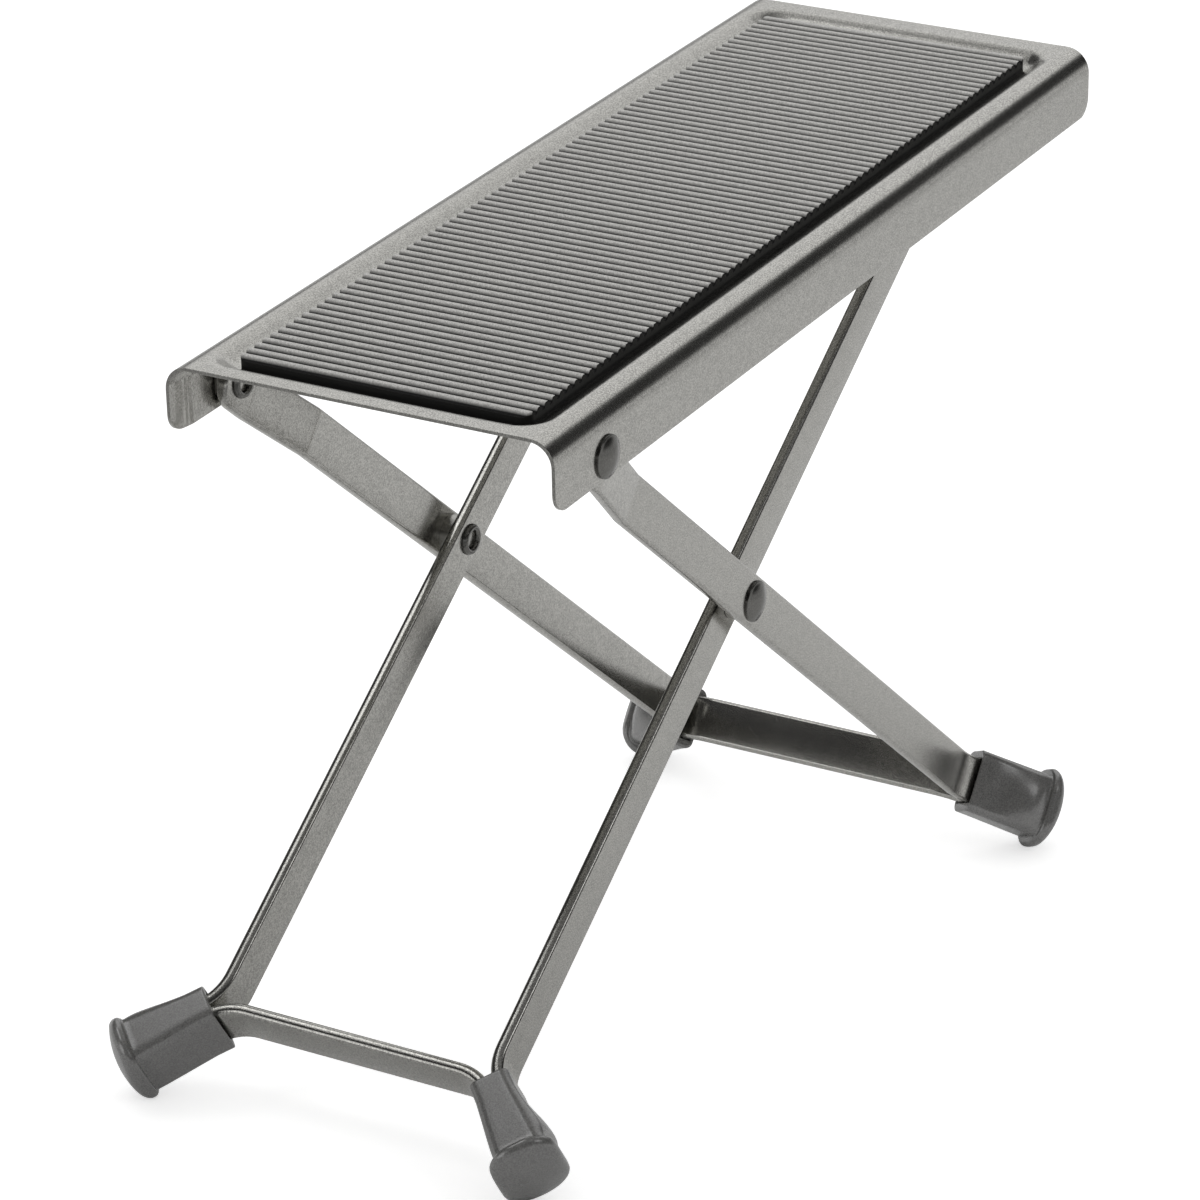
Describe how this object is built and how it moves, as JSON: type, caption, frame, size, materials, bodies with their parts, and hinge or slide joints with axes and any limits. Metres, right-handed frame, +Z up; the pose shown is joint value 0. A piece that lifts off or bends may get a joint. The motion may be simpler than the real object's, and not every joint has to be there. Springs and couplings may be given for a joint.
{
  "type": "guitar footrest",
  "caption": "Folding guitar footrest: a pressed steel tread with a ribbed rubber mat on crossed flat bar frames with rubber feet, set in height by a rod under toothed racks.",
  "frame": {"origin": "centre of the bounding box's bottom face, on the floor", "axes": "+X along the footrest from its low end to its high end, +Y to the left seen from the low end, +Z up"},
  "size_m": [0.3074, 0.1374, 0.2224],
  "materials": {
    "tread_steel": "satin plated sheet steel",
    "frame_steel": "satin plated flat bar",
    "rivet_steel": "bright plated",
    "rod_steel": "bright plated, drawn",
    "washer_steel": "zinc plated",
    "mat_rubber": "ribbed, matte with a faint sheen",
    "foot_rubber": "moulded, satin"
  },
  "bodies": {
    "tread": {"tread_plate": "tread_steel", "tread_mat": "mat_rubber", "left_rack": "tread_steel", "right_rack": "tread_steel", "left_pivot_rivet": "rivet_steel", "right_pivot_rivet": "rivet_steel", "left_pivot_washer": "washer_steel", "right_pivot_washer": "washer_steel"},
    "outer_legs": {"outer_frame": "frame_steel", "outer_left_foot": "foot_rubber", "outer_right_foot": "foot_rubber", "left_crossing_rivet": "rivet_steel", "right_crossing_rivet": "rivet_steel", "left_crossing_spacer": "washer_steel", "right_crossing_spacer": "washer_steel"},
    "inner_legs": {"inner_frame": "frame_steel", "lock_rod": "rod_steel", "inner_left_foot": "foot_rubber", "inner_right_foot": "foot_rubber", "left_rod_washer": "washer_steel", "right_rod_washer": "washer_steel"}
  },
  "joints": [
    {"name": "fold", "type": "hinge", "parent": "tread", "child": "outer_legs", "pos_m": [-0.11436, 0, 0.17659], "axis": [0, -1, 0], "range_deg": [0, 40]},
    {"name": "scissor", "type": "hinge", "parent": "outer_legs", "child": "inner_legs", "pos_m": [-0.02047, 0, 0.11334], "axis": [0, 1, 0], "range_deg": [0, 72]}
  ],
  "couplings": [
    {"joint": "scissor", "follows": "fold", "ratio": 1.7999}
  ]
}
